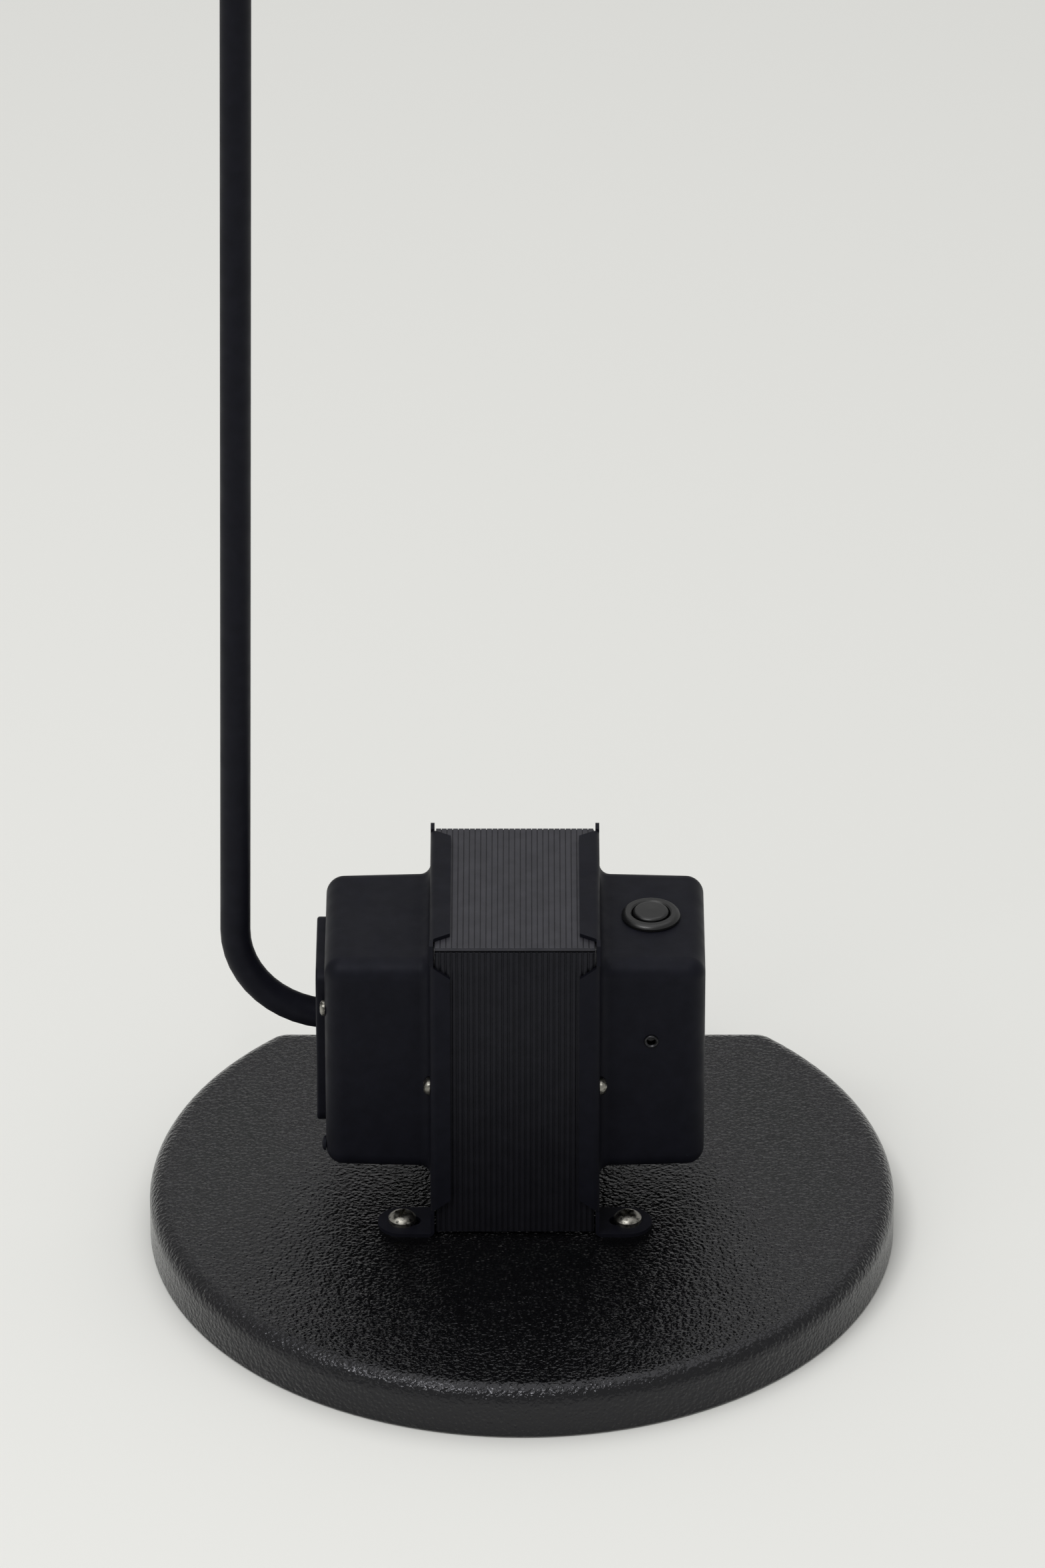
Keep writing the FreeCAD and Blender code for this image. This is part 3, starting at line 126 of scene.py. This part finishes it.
# ---------------------------------------------------------------- materials
def pebbled_enamel():
    """Glossy black enamel over a pebbled casting."""
    made = Material("pebbled enamel", (0.0022, 0.0022, 0.0025), 0.12)
    made.bump(made.noise(4 * MM, 2.0), 0.14 * MM)
    made.bump(made.cells(1.5 * MM, 0.25), 0.24 * MM)
    made.bump(made.noise(0.9 * MM, 1.5), 0.3 * MM)
    made.roughness_by(made.noise(14 * MM, 3.0), 0.08, 0.13)
    made.set("Specular IOR Level", 0.42)
    made.set("Specular Tint", (0.94, 0.94, 1.0, 1.0))
    return made


def powder_coat(name, color, roughness, grain=0.35 * MM, gloss=0.12):
    """Matte black powder coat: a fine grain with slow patches of shine."""
    made = Material(name, color, roughness)
    made.set("Specular IOR Level", gloss)
    made.set("Specular Tint", (0.86, 0.88, 1.0, 1.0))
    made.bump(made.noise(grain, 2.0), 0.03 * MM)
    made.roughness_by(made.noise(9 * MM, 4.0), roughness - 0.05, roughness + 0.07)
    lighter = tuple(part * 1.35 for part in color)
    made.color_by(made.remap(made.noise(5 * MM, 5.0), 0.35, 0.7, 0.0, 1.0), color, lighter)
    return made


def bright_metal(name, color, roughness, grime=0.3):
    """Plated metal with fine scratches and some dark grime."""
    made = Material(name, color, roughness, 1.0)
    made.bump(made.noise(0.4 * MM, 3.0), 0.012 * MM)
    made.roughness_by(made.noise(1.6 * MM, 4.0), roughness - 0.08, roughness + 0.14)
    dirty = tuple(part * grime for part in color)
    made.color_by(made.remap(made.noise(1.3 * MM, 6.0), 0.34, 0.5, 0.0, 1.0), dirty, color)
    return made


def laminations():
    """Stacked steel sheets, seen from their edges along X."""
    made = Material("electrical steel", (0.3, 0.3, 0.31), 0.45, 0.9)
    sheets = made.lines(0.5 * MM, "X")
    made.bump(sheets, 0.08 * MM)
    made.color_by(made.remap(sheets, 0.2, 0.8, 0.0, 1.0), (0.08, 0.08, 0.09), (0.34, 0.34, 0.36))
    made.roughness_by(made.noise(2 * MM, 4.0), 0.38, 0.6)
    return made


def copper_winding():
    """Enamelled wire, laid in turns one above the other."""
    made = Material("enamelled copper", (0.6, 0.22, 0.08), 0.28, 1.0)
    turns = made.lines(0.6 * MM, "Z")
    made.bump(turns, 0.12 * MM)
    made.color_by(made.noise(6 * MM, 3.0), (0.42, 0.13, 0.04), (0.72, 0.3, 0.12))
    return made


def moulded(name, color, roughness, texture=0.25 * MM, depth=0.01 * MM):
    """Moulded plastic, rubber or ceramic with a faint texture and mottling."""
    made = Material(name, color, roughness)
    made.bump(made.noise(texture, 2.0), depth)
    made.roughness_by(made.noise(4 * MM, 3.0), roughness - 0.05, roughness + 0.06)
    darker = tuple(part * 0.8 for part in color)
    made.color_by(made.noise(7 * MM, 3.0), darker, color)
    return made


def tape():
    """Yellow insulating tape wound round the coil in overlapping turns."""
    made = Material("insulating tape", (0.62, 0.42, 0.1), 0.3)
    made.bump(made.lines(11 * MM, "Z"), 0.15 * MM, 0.5)
    made.bump(made.noise(3 * MM, 3.0), 0.06 * MM)
    made.color_by(made.noise(8 * MM, 4.0), (0.5, 0.32, 0.06), (0.66, 0.46, 0.12))
    return made


def clear_glass():
    made = Material("clear glass", (0.98, 1.0, 1.0), 0.02)
    made.set("Transmission Weight", 1.0)
    made.set("IOR", 1.5)
    made.bump(made.noise(12 * MM, 1.0), 0.02 * MM)
    return made


SLOTS = {
    "base_enamel": pebbled_enamel(),
    "black_paint": powder_coat("black powder coat", (0.005, 0.0051, 0.008), 0.5),
    "cover_paint": powder_coat("dark grey satin", (0.0074, 0.0074, 0.0096), 0.36, 0.5 * MM, 0.18),
    "black_rubber": moulded("black rubber", (0.012, 0.012, 0.012), 0.7, 0.4 * MM, 0.03 * MM),
    "electrical_steel": laminations(),
    "plated_steel": bright_metal("plated steel", (0.55, 0.54, 0.5), 0.34, 0.6),
    "bright_screw": bright_metal("nickel screw", (0.3, 0.29, 0.26), 0.3, 0.2),
    "dark_steel": bright_metal("black oxide", (0.045, 0.045, 0.048), 0.32, 0.5),
    "spring_wire": bright_metal("spring wire", (0.6, 0.6, 0.6), 0.25, 0.7),
    "copper_wire": copper_winding(),
    "bobbin_plastic": moulded("bobbin plastic", (0.62, 0.58, 0.48), 0.5),
    "wrap_tape": tape(),
    "switch_plastic": moulded("black switch plastic", (0.007, 0.007, 0.0075), 0.34, 0.3 * MM, 0.012 * MM),
    "terminal_brass": bright_metal("terminal brass", (0.7, 0.5, 0.22), 0.3, 0.5),
    "block_plastic": moulded("pale block plastic", (0.72, 0.72, 0.68), 0.45),
    "wire_cover": moulded("wire cover", (0.02, 0.02, 0.022), 0.5),
    "knob_plastic": moulded("knob plastic", (0.01, 0.01, 0.01), 0.42, 0.4 * MM, 0.02 * MM),
    "fibre_washer": moulded("pressed fibre", (0.16, 0.1, 0.06), 0.8, 0.3 * MM, 0.03 * MM),
    "reflector_metal": bright_metal("polished aluminium", (0.85, 0.85, 0.86), 0.16, 0.85),
    "ceramic": moulded("glazed ceramic", (0.75, 0.72, 0.64), 0.25),
    "clear_glass": clear_glass(),
}
# Painted light: a lighter, glossier copy of the cover paint for the top cover, standing in for the light
# falling on its top face.
PAINTED_LIGHT_TOP = powder_coat("satin with painted top light", (0.026, 0.0255, 0.03), 0.34, 0.7 * MM, 0.3)


def dress_nodes():
    """Gives every CAD node the material of its slot; the top cover gets a lighter copy of the cover
    paint, painted light for its lit top.
    """
    for part in frame["record"]["subparts"]:
        node = NODES[part["node"]]
        finish = PAINTED_LIGHT_TOP if part["node"] == "top_cover" else SLOTS[part["material_slot"]]
        node.data.materials.clear()
        node.data.materials.append(finish.material)


# ---------------------------------------------------------------- studio
def studio_floor():
    mesh = bpy.data.meshes.new("floor")
    corners = [(across * FLOOR_REACH, along * FLOOR_REACH, 0)
               for across, along in ((-1, -1), (1, -1), (1, 1), (-1, 1))]
    mesh.from_pydata(corners, [], [(0, 1, 2, 3)])
    floor = bpy.data.objects.new("floor", mesh)
    bpy.context.scene.collection.objects.link(floor)
    pale = Material("pale floor", (0.8, 0.8, 0.775), 0.9)
    pale.set("Specular IOR Level", 0.0)
    mesh.materials.append(pale.material)


def studio_world():
    world = bpy.data.worlds.new("studio")
    bpy.context.scene.world = world
    world.use_nodes = True
    background = world.node_tree.nodes["Background"]
    background.inputs["Color"].default_value = (1.0, 1.0, 0.985, 1.0)
    background.inputs["Strength"].default_value = 0.5


def soft_box(name, place, wide, tall, power):
    """A rectangular light turned towards the middle of the transformer."""
    light = bpy.data.lights.new(name, "AREA")
    light.shape = "RECTANGLE"
    light.size = wide
    light.size_y = tall
    light.energy = power
    lamp = bpy.data.objects.new(name, light)
    lamp.location = place
    lamp.rotation_euler = (BENCH_MIDDLE - Vector(place)).to_track_quat("-Z", "Y").to_euler()
    bpy.context.scene.collection.objects.link(lamp)


def studio_lights():
    soft_box("key", (-0.6, -1.1, 2.1), 1.3, 0.25, 14)
    soft_box("fill", (-1.1, -0.9, 2.0), 1.6, 1.6, 8)
    soft_box("top", (0.2, 0.4, 2.4), 2.4, 2.4, 17)


def photo_camera():
    """A long lens looking down on the base from the front."""
    pitch = math.radians(31.64)
    distance = 3.5
    aim = Vector((0.00021, 0.0, 0.17407))
    view = Vector((0, math.cos(pitch), -math.sin(pitch)))
    data = bpy.data.cameras.new("photo camera")
    data.sensor_width = 36.0
    data.sensor_fit = "AUTO"
    data.lens = 244.98
    data.clip_end = 50.0
    camera = bpy.data.objects.new("photo camera", data)
    camera.location = aim - view * distance
    camera.rotation_euler = view.to_track_quat("-Z", "Y").to_euler()
    bpy.context.scene.collection.objects.link(camera)
    bpy.context.scene.camera = camera


dress_nodes()
studio_floor()
studio_world()
studio_lights()
photo_camera()
bpy.context.scene.view_settings.view_transform = "Standard"
